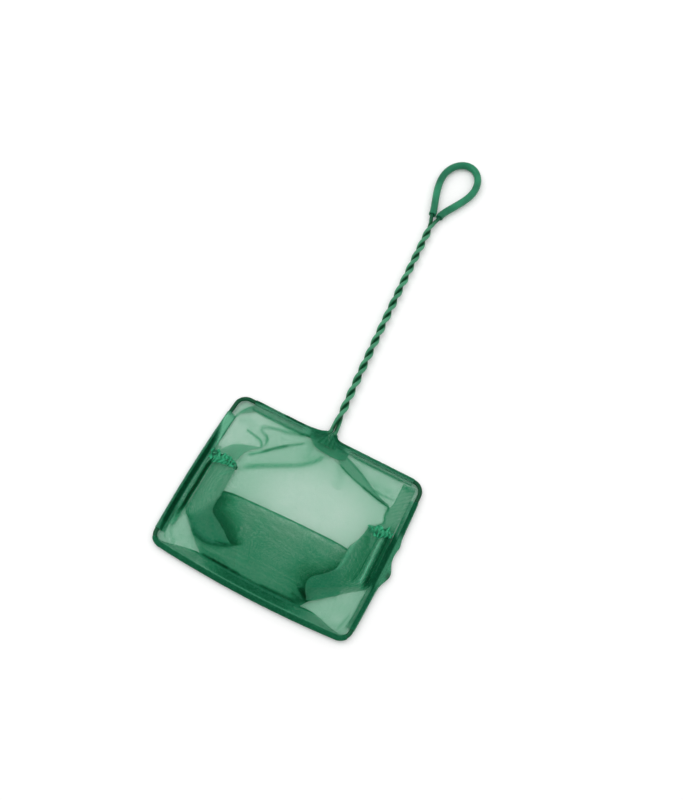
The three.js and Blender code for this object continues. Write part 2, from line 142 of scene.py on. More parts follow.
wire_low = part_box("hoop_wire_left")[0] / MM
wire_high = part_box("hoop_wire_right")[1] / MM
HOOP_X = (wire_low.x + wire_high.x) / 2
HOOP_Y = wire_low.y + BAR_Y + WIRE_RADIUS + FAR_BOW


def mix(a, b, share):
    return a + (b - a) * share


def smooth(share):
    s = np.clip(share, 0, 1)
    return s * s * (3 - 2 * s)


def hump(value, middle, size):
    """1 at a middle, falling to 0 on both sides."""
    return np.exp(-(((value - middle) / size) ** 2))


def band(value, low, high, soft):
    """1 between two values and 0 beyond, with soft ends."""
    return smooth((value - low) / soft + 0.5) * smooth((high - value) / soft + 0.5)


def run_of(points):
    """How far along a line each of its points is."""
    steps = np.linalg.norm(np.diff(points, axis=0), axis=1)
    return np.concatenate([[0], np.cumsum(steps)])


def read_off(where, run, rows):
    """The columns of a table at places between its rows."""
    return np.array([np.interp(where, run, column) for column in rows.T])


def in_frame(points):
    """Points in millimetres about the hoop's middle, in metres in the row frame."""
    return (np.asarray(points, float) + (HOOP_X, HOOP_Y, 0)) * MM


def under_view(x, y, z):
    """The place at height z that the camera sees at (x, y) of the hoop's own plane."""
    lift = (z - WIRE_HEIGHT) / CAMERA_ABOVE_WIRE
    return x - (x - CAMERA_PLACE[0]) * lift, y - (y - CAMERA_PLACE[1]) * lift, z


class Line:
    """A smooth line through a few points, read by share of its length."""

    def __init__(self, points):
        p = np.array(points, float)
        ends = np.vstack([2 * p[0] - p[1], p, 2 * p[-1] - p[-2]])
        t = np.linspace(0, 1, 16, endpoint=False)[:, None]
        spans = []
        for a, b, c, d in zip(ends, ends[1:], ends[2:], ends[3:]):
            spans.append(b + (c - a) * t / 2 + (a - 2.5 * b + 2 * c - d / 2) * t**2
                         + (1.5 * (b - c) + (d - a) / 2) * t**3)
        self.points = np.vstack([*spans, p[-1:]])
        self.run = run_of(self.points)

    def at(self, share):
        return read_off(np.clip(share, 0, 1) * self.run[-1], self.run, self.points)

    def near(self, x, y):
        """For places (x, y): their distance to the line, the share of its length there, and their side.

        The side is 0 past the line's end.
        """
        a, b = self.points[:-1, :2], self.points[1:, :2]
        d = b - a
        length = np.maximum((d**2).sum(1), 1e-12)
        px = x[:, None] - a[:, 0]
        py = y[:, None] - a[:, 1]
        t = np.clip((px * d[:, 0] + py * d[:, 1]) / length, 0, 1)
        gap = np.hypot(px - t * d[:, 0], py - t * d[:, 1])
        best = gap.argmin(1)
        rows = np.arange(len(x))
        cross = d[best, 0] * py[rows, best] - d[best, 1] * px[rows, best]
        share = (self.run[best] + t[rows, best] * np.sqrt(length[best])) / self.run[-1]
        return gap[rows, best], share, np.where(share > 0.9999, 0, np.sign(cross))


def waves(x, y, size, seed):
    """Soft unevenness between about -1 and 1, at one size in millimetres."""
    return np.array([noise.noise(Vector((a / size, b / size, seed))) for a, b in zip(x, y)])


# Materials

def new_material(name):
    material = bpy.data.materials.new(name)
    material.use_nodes = True
    material.node_tree.nodes.clear()
    return material, material.node_tree


def add_node(tree, kind, *values, setting=None, **named):
    """A new shader node, its inputs given in order, or by name with _ for a space."""
    new = tree.nodes.new("ShaderNode" + kind)
    if setting:
        setattr(new, *setting)
    inputs = dict(enumerate(values))
    inputs.update((name.replace("_", " "), value) for name, value in named.items())
    for name, value in inputs.items():
        if isinstance(value, bpy.types.NodeSocket):
            tree.links.new(value, new.inputs[name])
        else:
            new.inputs[name].default_value = value
    return new


def maths(tree, operation, *values, kind="Math"):
    return add_node(tree, kind, *values, setting=("operation", operation)).outputs[0]


def noise_at(tree, vector, scale):
    return add_node(tree, "TexNoise", Vector=vector, Scale=scale, Detail=3.0).outputs["Fac"]


def ramp(tree, factor, stops):
    new = add_node(tree, "ValToRGB", factor)
    elements = new.color_ramp.elements
    while len(elements) < len(stops):
        elements.new(0.5)
    for element, (place, colour) in zip(elements, stops):
        element.position = place
        element.color = (*colour, 1)
    return new.outputs["Color"]


def mottled(tree, where, scale, stops):
    """A colour or a grey that varies over the piece."""
    return ramp(tree, noise_at(tree, where, scale), stops)


def blend(tree, factor, first, second):
    new = add_node(tree, "Mix", setting=("data_type", "RGBA"), Factor=factor, A=first, B=second)
    return new.outputs["Result"]


def share_between(tree, value, low, high, at_low=0.0, at_high=1.0):
    new = add_node(tree, "MapRange", Value=value, From_Min=low, From_Max=high, To_Min=at_low, To_Max=at_high)
    return new.outputs["Result"]


def attribute(tree, name):
    return add_node(tree, "Attribute", setting=("attribute_name", name)).outputs["Fac"]


def bumps(tree, where, scale, strength, distance):
    height = noise_at(tree, where, scale)
    return add_node(tree, "Bump", Height=height, Strength=strength, Distance=distance).outputs["Normal"]


def object_coordinates(tree):
    return add_node(tree, "TexCoord").outputs["Object"]


def mixed(tree, factor, first, second):
    return add_node(tree, "MixShader", factor, first.outputs[0], second.outputs[0])


def with_surface(material, shader):
    """The material, ending in one shader."""
    tree = material.node_tree
    add_node(tree, "OutputMaterial", Surface=shader.outputs[0])
    return material


def mesh_material(name, light):
    """Green knitted nylon: threads both ways with open holes, closing up where plies lie together.

    Its threads send back little light and let more through, so the mesh is pale over the white
    floor, and deeper green with every ply. Painted shade is added as extra plies in places, and a
    painted highlight blends in the colour light and lets less light through.
    """
    material, tree = new_material(name)
    flat = add_node(tree, "UVMap", setting=("uv_map", "cloth")).outputs["UV"]
    wander = add_node(tree, "TexNoise", Vector=flat, Scale=1100.0, Detail=1.0).outputs["Color"]
    shifted = maths(tree, "MULTIPLY_ADD", wander, (MESH_CELL, MESH_CELL, 0), flat, kind="VectorMath")
    cells = maths(tree, "MULTIPLY", shifted, (1 / MESH_CELL,) * 3, kind="VectorMath")
    parts = add_node(tree, "SeparateXYZ", cells)
    # How many plies lie together, with painted shade added as extra plies in places
    plies_and_shade = attribute(tree, "plies_and_shade")
    open_share = maths(tree, "POWER", 1 - THREAD_SHARE, plies_and_shade)
    half_thread = maths(tree, "MULTIPLY", maths(tree, "SUBTRACT", 1.0, open_share), 0.5)
    threads = []
    for axis in ("X", "Y"):
        place = maths(tree, "FRACT", parts.outputs[axis])
        off = maths(tree, "ABSOLUTE", maths(tree, "SUBTRACT", place, 0.5))
        threads.append(maths(tree, "LESS_THAN", off, half_thread))
    cover = maths(tree, "MAXIMUM", *threads)

    tone = share_between(tree, plies_and_shade, 1.0, MOST_PLIES)
    for scale, strength in UNEVEN:
        blotch = noise_at(tree, object_coordinates(tree), scale)
        tone = maths(tree, "ADD", tone, maths(tree, "MULTIPLY_ADD", blotch, strength, -strength / 2))
    # shine is a painted highlight, blended in with the colour light
    shine = attribute(tree, "shine")
    colour = blend(tree, shine, ramp(tree, tone, THREAD_SENDS_BACK), (*light, 1))
    thread = add_node(tree, "BsdfPrincipled", Base_Color=colour, Roughness=0.55, Specular_IOR_Level=0.05)
    through = add_node(tree, "BsdfTranslucent", Color=ramp(tree, tone, THREAD_LETS_THROUGH))
    share = maths(tree, "MULTIPLY", maths(tree, "SUBTRACT", 1.0, shine), THROUGH_SHARE)
    fibre = mixed(tree, share, thread, through)
    return with_surface(material, mixed(tree, cover, add_node(tree, "BsdfTransparent"), fibre))


def coated_wire_material():
    """Dark green plastic coat, paler on the handle and dark again at the loop, with painted shade where the
    pair's strands face each other.
    """
    material, tree = new_material("coated_wire_green")
    where = object_coordinates(tree)
    tone = noise_at(tree, where, 90.0)
    along = add_node(tree, "SeparateXYZ", where).outputs["Y"]
    colour = ramp(tree, tone, [(0.3, (0.001, 0.056, 0.020)), (0.7, (0.005, 0.090, 0.038))])
    pair = ramp(tree, tone, [(0.3, (0.042, 0.220, 0.115)), (0.7, (0.072, 0.310, 0.165))])
    to_loop = [share * HANDLE_LENGTH for share in LOOP_SHADE]
    for (start, end), other in ((PAIR_SHADE, pair), (to_loop, (0.006, 0.100, 0.045, 1))):
        low, high = (float(in_frame((0, NECK_Y + y, 0))[1]) for y in (start, end))
        colour = blend(tree, share_between(tree, along, low, high), colour, other)
    # Painted shade where each strand of the pair faces the other
    colour = blend(tree, attribute(tree, "groove_shade"), colour, (0.001, 0.066, 0.022, 1))
    rough = mottled(tree, where, 700.0, [(0.3, (0.28,) * 3), (0.8, (0.42,) * 3)])
    coat = add_node(tree, "BsdfPrincipled", Base_Color=colour, Roughness=rough, Specular_IOR_Level=0.14,
                    Normal=bumps(tree, where, 420.0, 0.25, 0.0004))
    return with_surface(material, coat)


def plain_material(name, scale, stops, rough, shine, *bump):
    """A green that varies over the piece, with small bumps."""
    material, tree = new_material(name)
    where = object_coordinates(tree)
    colour = mottled(tree, where, scale, stops)
    surface = add_node(tree, "BsdfPrincipled", Base_Color=colour, Roughness=rough,
                       Specular_IOR_Level=shine, Normal=bumps(tree, where, *bump))
    return with_surface(material, surface)


WIRE_GREEN = coated_wire_material()
VINYL_GREEN = plain_material(
    "vinyl_tube_green", 60.0, [(0.3, (0.005, 0.115, 0.056)), (0.7, (0.022, 0.230, 0.114))],
    0.3, 0.18, 240.0, 0.15, 0.0004)
THREAD_GREEN = plain_material(
    "sewing_thread_green", 500.0,
    [(0.25, (0.012, 0.16, 0.07)), (0.5, (0.035, 0.30, 0.15)), (0.75, (0.06, 0.42, 0.22))],
    0.6, 0.5, 1800.0, 0.6, 0.0003)
MESH_GREEN = mesh_material("knitted_mesh_green", CREASE_LIGHT)
GATHERED_GREEN = mesh_material("gathered_mesh_green", GATHER_LIGHT)


# Making pieces

def linked(name, data):
    """A new object in the scene."""
    piece = bpy.data.objects.new(name, data)
    bpy.context.scene.collection.objects.link(piece)
    return piece


def finish_piece(name, mesh, material, slot, *nodes):
    """Puts a mesh in the scene on the net's one body, in place of its CAD nodes."""
    piece = linked(name, mesh)
    mesh.materials.clear()
    mesh.materials.append(material)
    for polygon in mesh.polygons:
        polygon.use_smooth = True
    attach(piece, "root")
    if nodes:
        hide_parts(*nodes)
    return piece


def mesh_of(bm, name):
    mesh = bpy.data.meshes.new(name)
    bm.to_mesh(mesh)
    bm.free()
    return mesh


def grid(across, down, size=0.5):
    bm = bmesh.new()
    bmesh.ops.create_grid(bm, x_segments=across, y_segments=down, size=size)
    return bm


def shares_of(mesh):
    """The shares across and along a grid of each of its vertices."""
    flat = np.zeros(len(mesh.vertices) * 3)
    mesh.vertices.foreach_get("co", flat)
    return flat.reshape(-1, 3)[:, 0] + 0.5, flat.reshape(-1, 3)[:, 1] + 0.5


def move_points(mesh, points):
    mesh.vertices.foreach_set("co", in_frame(points).ravel())


def set_values(mesh, name, values):
    values = np.broadcast_to(values, len(mesh.vertices)).astype(np.float32)
    mesh.attributes.new(name, "FLOAT", "POINT").data.foreach_set("value", values)


def cloth_grid(across, down, size, cloth):
    """A mesh of cloth: cloth gives places in millimetres, plies with painted shade, and shine for shares (u,
    v) of it.

    plies are how many lie together, with painted shade added as extra plies in places, and shine is
    how much painted highlight a place has. size is the cloth's own width and length in millimetres,
    which its weave follows.
    """
    bm = grid(across, down)
    weave = bm.loops.layers.uv.new("cloth")
    for face in bm.faces:
        for loop in face.loops:
            u, v = loop.vert.co.x + 0.5, loop.vert.co.y + 0.5
            loop[weave].uv = (u * size[0] * MM, v * size[1] * MM)
    mesh = mesh_of(bm, "cloth")
    u, v = shares_of(mesh)
    places, plies_and_shade, shine = cloth(u, v)
    move_points(mesh, np.stack(places, -1))
    set_values(mesh, "plies_and_shade", plies_and_shade)
    set_values(mesh, "shine", shine)
    mesh.update()
    return mesh


def joined(meshes):
    """Several meshes of cloth as one."""
    bm = bmesh.new()
    for mesh in meshes:
        bm.from_mesh(mesh)
    return mesh_of(bm, "cloth")


def frames_along(path, closed):
    """Directions ahead, to the side and up at each point of a path, turning as little as they can."""
    ahead = np.roll(path, -1, 0) - np.roll(path, 1, 0)
    if not closed:
        ahead[0] = path[1] - path[0]
        ahead[-1] = path[-1] - path[-2]
    ahead /= np.linalg.norm(ahead, axis=1)[:, None]
    side = np.array(Vector(ahead[0]).orthogonal().normalized())
    sides = []
    for direction in [*ahead, ahead[0]]:
        side = side - direction * side.dot(direction)
        side /= np.linalg.norm(side)
        sides.append(side)
    last = sides.pop()
    sides = np.array(sides)
    ups = np.cross(ahead, sides)
    if closed:
        slip = math.atan2(last.dot(ups[0]), last.dot(sides[0]))
        turn = -slip * np.arange(len(path))[:, None] / len(path)
        sides, ups = np.cos(turn) * sides + np.sin(turn) * ups, np.cos(turn) * ups - np.sin(turn) * sides
    return sides, ups


def tube_mesh(points, radius, closed, sides=16, partner=None):
    """A round bar along points in millimetres: a sheet rolled up along them and welded.

    partner gives directions to a bar alongside; the side that faces it gets painted shade, darkest in the
    groove between the two.
    """
    path = np.asarray(points, float)
    side, up = frames_along(path, closed)
    toward = np.zeros_like(path) if partner is None else partner
    rows = np.hstack([path, side, up, toward])
    if closed:
        rows = np.vstack([rows, rows[:1]])
    mesh = mesh_of(grid(sides, len(rows) - 1), "bar")
    around, along = shares_of(mesh)
    angle = 2 * math.pi * around
    place = along * (len(rows) - 1)
    at = read_off(place, np.arange(len(rows)), rows).T
    out = np.cos(angle)[:, None] * at[:, 3:6] + np.sin(angle)[:, None] * at[:, 6:9]
    move_points(mesh, at[:, :3] + radius * out)
    # Painted shade on the side of a strand that faces its partner, darkest in the groove
    groove_shade = smooth(((out * at[:, 9:]).sum(1) - GROOVE_SHADE_START) / GROOVE_SHADE_WIDTH)
    set_values(mesh, "groove_shade", groove_shade * np.linalg.norm(at[:, 9:], axis=1))
    return welded(mesh)


def welded(mesh):
    """The same mesh with the edges that meet joined, and its faces outwards."""
    bm = bmesh.new()
    bm.from_mesh(mesh)
    bmesh.ops.remove_doubles(bm, verts=bm.verts, dist=WELD_WITHIN)
    bmesh.ops.recalc_face_normals(bm, faces=bm.faces)
    bm.to_mesh(mesh)
    bm.free()
    return mesh


def threads(name, spots, half_length, radius, roundness):
    """Short lengths of thread, each given by its middle and its turn."""
    bm = bmesh.new()
    size = Matrix.Diagonal((half_length, radius, radius, 1))
    for x, y, z, turn in spots:
        new = bmesh.ops.create_icosphere(bm, subdivisions=roundness, radius=1.0)["verts"]
        bmesh.ops.scale(bm, vec=Vector((MM,) * 3), verts=new)
        place = Matrix.Translation(in_frame((x, y, z))) @ Matrix.Rotation(turn, 4, "Z") @ size
        bmesh.ops.transform(bm, matrix=place, verts=new)
    return finish_piece(name, mesh_of(bm, name), THREAD_GREEN, "tack_thread")


# The wire's path

def bezier(count, *points):
    """A curve from the first point to the last, drawn towards those between."""
    t = np.linspace(0, 1, count)[:, None]
    n = len(points) - 1
    weights = [math.comb(n, k) * t**k * (1 - t) ** (n - k) for k in range(n + 1)]
    return sum(weight * np.array(point) for weight, point in zip(weights, points))


def corner(x, y, start, end):
    angle = np.linspace(start, end, 20)
    return np.stack([x + CORNER_RADIUS * np.cos(angle), y + CORNER_RADIUS * np.sin(angle)], -1)


def hoop_curves():
    """The hoop's bars and corners in plan, from the left strand round to the right one."""
    near_x = BAR_X - CORNER_RADIUS
    near_y = BAR_Y - CORNER_RADIUS
    left = NECK_OFFSET - STRAND_SPACING / 2
    right = NECK_OFFSET + STRAND_SPACING / 2
    quarter = math.pi / 2
    return {
        "left flare": bezier(30, (left, NECK_Y), (left, BAR_Y), (left - NECK_FLARE_LEFT, BAR_Y)),
        "left handle bar": bezier(20, (left - NECK_FLARE_LEFT, BAR_Y), (-40, BAR_Y), (-near_x, BAR_Y)),
        "near left corner": corner(-near_x, near_y, quarter, 2 * quarter),
        "left bar": bezier(60, (-BAR_X, near_y), (-BAR_X - 2 * SIDE_BOW, 0), (-BAR_X, -near_y)),
        "far left corner": corner(-near_x, -near_y, 2 * quarter, 3 * quarter),
        "far bar": bezier(70, (-near_x, -BAR_Y), (0, -BAR_Y - 2 * FAR_BOW), (near_x, -BAR_Y)),
        "far right corner": corner(near_x, -near_y, 3 * quarter, 4 * quarter),
        "right bar": bezier(60, (BAR_X, -near_y), (BAR_X + 2 * SIDE_BOW, 0), (BAR_X, near_y)),
        "near right corner": corner(near_x, near_y, 0, quarter),
        "right handle bar": bezier(20, (near_x, BAR_Y), (36, BAR_Y), (right + NECK_FLARE_RIGHT, BAR_Y)),
        "right flare": bezier(16, (right + NECK_FLARE_RIGHT, BAR_Y), (right, BAR_Y), (right, NECK_Y)),
    }


HOOP = hoop_curves()


def hoop_points():
    """The hoop's centreline, which climbs to the handle's height at the neck."""
    plan = np.vstack([line[:-1] for line in HOOP.values()])
    climb = smooth((plan[:, 1] - BAR_Y - NECK_LEVEL) / (NECK_Y - BAR_Y - NECK_LEVEL))
    return np.c_[plan, mix(WIRE_HEIGHT, PAIR_HEIGHT, climb)]


def twist(share):
    """The pair's turn at shares of the handle: it starts and stops gently."""
    e = TWIST_EASE
    eased = (share - e / 2) / (1 - e)
    eased = np.where(share < e, share**2 / (2 * e * (1 - e)), eased)
    eased = np.where(share > 1 - e, 1 - (1 - share) ** 2 / (2 * e * (1 - e)), eased)
    return HALF_TWISTS * math.pi * eased


def handle_axis(share):
    x = NECK_OFFSET - HANDLE_LENGTH * math.sin(HANDLE_LEAN) * share
    x = x - 4 * HANDLE_BOW * share * (1 - share)
    y = NECK_Y + HANDLE_LENGTH * math.cos(HANDLE_LEAN) * share
    return np.stack([x, y, np.full_like(share, PAIR_HEIGHT)], -1)


def strand_points(side):
    """One strand of the twisted pair, from the neck to the loop, and the way to the other strand."""
    share = np.linspace(0, 1, 260)
    to_foot = smooth(1 - (1 - share) * HANDLE_LENGTH / FOOT_SPREAD_LENGTH)
    to_neck = smooth(1 - share * HANDLE_LENGTH / FOOT_SPREAD_LENGTH)
    radius = mix(mix(COAT_SPACING, STRAND_SPACING, to_neck), FOOT_SPACING, to_foot) / 2
    angle = twist(share) + (math.pi if side == LEFT else 0)
    toward = np.stack([-np.cos(angle), 0 * angle, np.sin(angle)], -1)
    line = handle_axis(share) - radius[:, None] * toward
    return line, toward * (1 - to_foot)[:, None]


def loop_points():
    """The teardrop loop from its right foot over the top to its left foot."""
    foot, before = handle_axis(np.array([1.0, 0.99]))
    heading = (foot - before) / np.linalg.norm(foot - before)
    shoulder = mix(LOOP_WIDEST, LOOP_TOP, ROUNDNESS)
    turn = -LOOP_TILT

    def in_loop(x, y):
        return foot + (x * math.cos(turn) - y * math.sin(turn), x * math.sin(turn) + y * math.cos(turn), 0)

    halves = []
    for side in (RIGHT, LEFT):
        start = foot + (side * FOOT_SPACING / 2, 0, 0)
        straight = start + heading * LEG_STRAIGHT * LOOP_WIDEST
        wide = side * LOOP_HALF_WIDTH
        widest = in_loop(wide, LOOP_WIDEST)
        leg = bezier(40, start, straight, in_loop(wide, (1 - LEG_SWELL) * LOOP_WIDEST), widest)
        head = bezier(30, widest, in_loop(wide, shoulder), in_loop(wide * ROUNDNESS, LOOP_TOP),
                      in_loop(0, LOOP_TOP))
        halves.append(np.vstack([leg[:-1], head]))
    return np.vstack([halves[0], halves[1][-2::-1]])


def frame_wire():
    """The one coated wire: hoop, twisted pair and the part inside the loop's tube."""
    hoop = hoop_points()
    loop = loop_points()
    right, from_right = strand_points(RIGHT)
    left, from_left = strand_points(LEFT)
    path = np.vstack([hoop, right[:-1], loop[:-1], left[::-1][:-1]])
    partner = np.vstack([0 * hoop, from_right[:-1], 0 * loop[:-1], from_left[::-1][:-1]])
    mesh = tube_mesh(path, WIRE_RADIUS, True, 16, partner)
    finish_piece("frame_wire", mesh, WIRE_GREEN, "coated_wire", "hoop_wire_left", "hoop_wire_right",
                 "handle_strand_left", "handle_strand_right", "loop_wire")


def loop_tube():
    """The vinyl tube on the loop, cut off square at both feet."""
    mesh = tube_mesh(loop_points(), TUBE_RADIUS, False, 24)
    piece = finish_piece("loop_tube", mesh, VINYL_GREEN, "vinyl_tube", "grip_tube")
    wall = piece.modifiers.new("wall", "SOLIDIFY")
    wall.thickness = TUBE_WALL * MM
    wall.offset = -1


# Hems

def bar_line(curves, bare_start, bare_end):
    """The stretch of the hoop that a hem covers."""
    plan = np.vstack([HOOP[c] if i == 0 else HOOP[c][1:] for i, c in enumerate(curves)])
    run = run_of(plan)
    return plan, run, bare_start, run[-1] - bare_end


def along_bar(stretch, share):
    """Places on a hem's bar and the directions inward from them."""
    plan, run, start, end = stretch
    where = mix(start, end, share)
    x, y = read_off(where, run, plan)
    step = 0.5
    dx, dy = read_off(where + step, run, plan) - read_off(where - step, run, plan)
    size = np.hypot(dx, dy)
    return x, y, -dy / size, dx / size, where


def tapered(reach, end_reach, share):
    """How far in a hem's edge lies along it, where it narrows towards its ends."""
    return mix(end_reach, reach, smooth(np.minimum(share, 1 - share) / HEM_TAPER))


WHOLE = (-99, 99, 1)  # a band over all of a hem's width


def strength_at(shape, value):
    """A band with its low end, high end and softness or, from two numbers, a hump."""
    return hump(value, *shape) if len(shape) == 2 else band(value, *shape)


def banded(rows, inward, along):
    """The sum of rows: a strength, a band inward from the wire, and bands along the bar.

    A fourth number in a band along the bar slants it across the hem.
    """
    total = 0.0
    for strength, across, *stretches in rows:
        value = strength * strength_at(across, inward)
        for shape in stretches:
            value = value * strength_at(shape[:3], along + sum(shape[3:]) * inward)
        total = total + value
    return total


def hem(node, curves, bare, reach, seed, base, folds, lights, bulge=None, end_reach=None):
    """A hem folded over the wire: under it, round the outside, over the top, down to its stitches.

    bare is what it leaves of the hoop's curves at its two ends. base and the rows of folds say how
    many plies lie together, and those of lights how much painted highlight they carry.
    """
    stretch = bar_line(curves, *bare)
    axis = int(np.ptp(stretch[0][:, 1]) > np.ptp(stretch[0][:, 0]))
    end_reach = end_reach or reach
    length = stretch[3] - stretch[2]
    edge = math.atan2(HEM_EDGE_HEIGHT - WIRE_HEIGHT, reach)
    leaving = edge + math.acos(HEM_RADIUS / math.hypot(reach, WIRE_HEIGHT - HEM_EDGE_HEIGHT))
    round_it = HEM_RADIUS * (1.5 * math.pi - leaving)
    girth = reach + round_it + reach
    top_in = HEM_RADIUS * math.cos(leaving)
    top_up = WIRE_HEIGHT + HEM_RADIUS * math.sin(leaving)

    def cloth(u, v):
        x, y, inx, iny, where = along_bar(stretch, u)
        s = v * girth
        under = s < reach
        down = np.clip((s - reach - round_it) / reach, 0, 1)
        angle = -math.pi / 2 - (s - reach) / HEM_RADIUS
        radius = HEM_RADIUS + np.abs(0.22 * waves(where, v * 9, 6.0, seed))
        lap = tapered(reach, end_reach, u) + 0.35 * waves(where, 0 * v, 9.0, seed + 5)
        inward = np.where(under, mix(lap, 0, np.clip(s / reach, 0, 1)), radius * np.cos(angle))
        height = np.where(under, WIRE_HEIGHT - HEM_RADIUS, WIRE_HEIGHT + radius * np.sin(angle))
        ripple = 0.3 * waves(where, v * 4, 5.0, seed + 3) * np.sin(math.pi * down)
        inward = np.where(down > 0, mix(top_in, lap, down), inward)
        height = np.where(down > 0, mix(top_up, HEM_EDGE_HEIGHT, down) + ripple, height)
        if bulge is not None:
            inward = inward - bulge(y) * np.clip(-inward / HEM_RADIUS, 0, 1)
        x, y = x + inx * inward, y + iny * inward
        along = (x, y)[axis]
        plies_and_shade = base + banded(folds, inward, along) + 0.12 * waves(x, y, 5.0, seed + 9)
        return (x, y, np.maximum(height, 0.3)), plies_and_shade, banded(lights, inward, along) * (v > 0.5)

    name = node + "_cloth"
    mesh = cloth_grid(max(int(length / HEM_STEP), 20), 60, (length, girth), cloth)
    piece = finish_piece(name, mesh, MESH_GREEN, "hem_mesh", node)
    row = stitches(name + "_stitches", stretch, reach, end_reach)


def stitches(name, stretch, reach, end_reach):
    """A row of short stitches along a hem's edge."""
    count = int((stretch[3] - stretch[2]) / STITCH_PITCH)
    spots = []
    for i in range(count):
        share = np.array([(i + 0.5) / count])
        x, y, inx, iny, _ = (float(a[0]) for a in along_bar(stretch, share))
        inset = float(tapered(reach, end_reach, share)[0]) - 0.5 + 0.15 * math.sin(i * 1.7)
        turn = math.atan2(-inx, iny) + 0.12 * math.sin(i * 2.4)
        spots.append((x + inx * inset, y + iny * inset, STITCH_HEIGHT, turn))
    return threads(name, spots, STITCH_LENGTH / 2, STITCH_RADIUS, 1)


def hems():
    """The five lengths of the bag's hem: two beside the neck, one on each side and the far one."""
    hem("handle_side_hem_left", ["left flare", "left handle bar"], (4, 4), 5.6, 31.0, 0.7,
        [(0.9, (4.9, 9, 1.0)),
         (1.9, WHOLE, (-20, 9, 10)),
         (3.6, (-3, 0.6, 1), (-38, -22, 5)),
         (0.6, (-3, 1.4, 1)),
         (3.2, (-3, 1.2, 1), (-80, -53, 14))],
        [(0.5, (0.6, 4.6, 1), (-60, -16, 6))])
    hem("handle_side_hem_right", ["right handle bar", "right flare"], (0, 3), 3.4, 37.0, 0.5,
        [(1.2, (2.9, 9, 0.7)),
         (1.5, WHOLE, (-9, 14, 8)),
         (2.2, (-3, 0.8, 1))],
        [(0.8, (0.9, 2.9, 0.7), (12, 66, 6))])
    hem("left_hem", ["left bar"], (8, 1), 5.2, 41.0, 1.3,
        [(4.6, (0.2, 3.2, 1.3), (-44, 34, 16, 5)),
         (0.6, (4.6, 9, 0.8), (-50, 48, 6)),
         (2.0, (-0.9, 4.6, 1), (35, 90, 9, 3), (15, 45, 5))],
        [(0.85, (-0.9, 4.6, 1), (35, 90, 9, 3), (15, 45, 5)),
         (0.5, (3.9, 5.6, 0.8), (-34, 26, 6))])
    # Beside the right hem's bulge, the bundle inside the wire has extra plies that also stand for painted
    # shade, and the cloth over the wire has a painted highlight.
    hem("right_hem", ["right bar"], (1, 6), 4.4, 43.0, 0.8,
        [(0.5, WHOLE, (-22, 90, 6)),
         (3.4, (0.8, 9, 1.2), (-23, 16, 7, -1)),
         (1.6, (-9, 0.8, 1.2), (-19, 24, 6)),
         (4.5, (-4.0, 1.2), (-9.5, 2.4)),
         (0.8, (3, 9, 1.5), (19, 36, 4)),
         (3.0, (-1.3, 1.6, 1), (20, 70, 10)),
         (3.0, (-1.3, 1.6, 1), (-70, -20, 8))],
        [(0.3, (-6, 0.8, 1.2), (-19, 22, 6)),
         (0.4, (1.8, 3.4, 0.8), (34, 60, 4))],
        bulge=lambda y: hump(y, 13, 4) + 3.6 * hump(y, -8.5, 7))
    hem("far_hem", ["far left corner", "far bar", "far right corner"], (5, 5), 9.5, 47.0, 0.8,
        [(0.4, WHOLE, (-45, 45, 20)),
         (2.4, (2.4, 9.6, 0.8), (-30, 34, 30)),
         (3.0, (8.4, 12, 1.2), (-48, 48, 20)),
         (2.6, (-4, 1.6, 1))],
        [(0.3, (1.6, 2.6, 0.8))], end_reach=2.4)


# The lines that the bag's edges and folds follow, as the camera sees them in the hoop's plane

LEFT_LIP_END = (-48.2, -8.7)
RIGHT_LIP_END = (46.6, -5.2)
LEFT_FOLD_POINTS = [(-49.0, 12), (-48.6, 4), LEFT_LIP_END, (-48.6, -16), (-48.4, -22), (-46.8, -25.6),
                    (-42.5, -28.4), (-38, -31), (-33, -34.4), (-28.5, -37.8), (-24.5, -39.6), (-20.5, -38.3)]
LEFT_FOLD = Line(LEFT_FOLD_POINTS)
LEFT_SHADE = Line([*LEFT_FOLD_POINTS, (-16, -35), (-11, -31)])
LEFT_OUTER = Line([(-65.0, 12), (-64.6, 0), (-64.4, -12), (-64.4, -24), (-63.4, -33), (-57.5, -38.4),
                   (-50.5, -44.8), (-45, -46.8), (-38, -46.8), (-30, -44), (-24, -41), (-20.5, -38.3)])
RIGHT_FOLD = Line([(52.5, 19), (51.4, 12), (49.8, 5), (46.6, -2.5), (45.8, -10), (46, -18), (44.6, -22.4),
                   (40, -28), (35, -32.2), (32.4, -36.6), (33.2, -42), (37.6, -49.6)])
RIGHT_OUTER = Line([(69.5, 19), (70.5, 10), (71, 0), (71.5, -10), (71.8, -18), (69.5, -24.5), (63, -30),
                    (54, -37.5), (48.5, -42.4), (44.5, -45.6), (40, -48.6), (37.6, -49.6)])
LEFT_EDGE = [(-64, -33), (-60, -37.4), (-55, -42), (-50, -46.6), (-45, -51), (-42, -53.6), (-39, -57.4)]
RIGHT_EDGE = [(72.5, -22.3), (66, -27.6), (58, -34.2), (50, -41), (43, -47), (39.5, -50), (37, -53.6),
              (35, -57.4)]
POCKET_LIP = Line([(-48.4, -8.8), (-44, -7.8), (-40, -7.1), (-30, -6.5), (-20, -6), (0, -5.1), (15, -4.7),
                   (30, -4.5), (40, -4.6), RIGHT_LIP_END])
POCKET_SEAM = Line([(-39, -57), (-20, -57.6), (0, -57.8), (20, -57.6), (35, -57)])
POCKET_LEFT = Line([(-39, -57), *LEFT_EDGE[5:1:-1], (-59, -37), (-56.5, -29), (-50.6, -20), (-48.4, -8.8)])
POCKET_RIGHT = Line([(35, -57), *RIGHT_EDGE[6:2:-1], (55.5, -35.5), (52, -27), (47.5, -18), RIGHT_LIP_END])

WIDE_DRAPE = [(1, 52), (0, 49), (-3, 43), (-10, 36), (-20, 29.5), (-30, 24), (-40, 18), (-46.5, 12.5)]

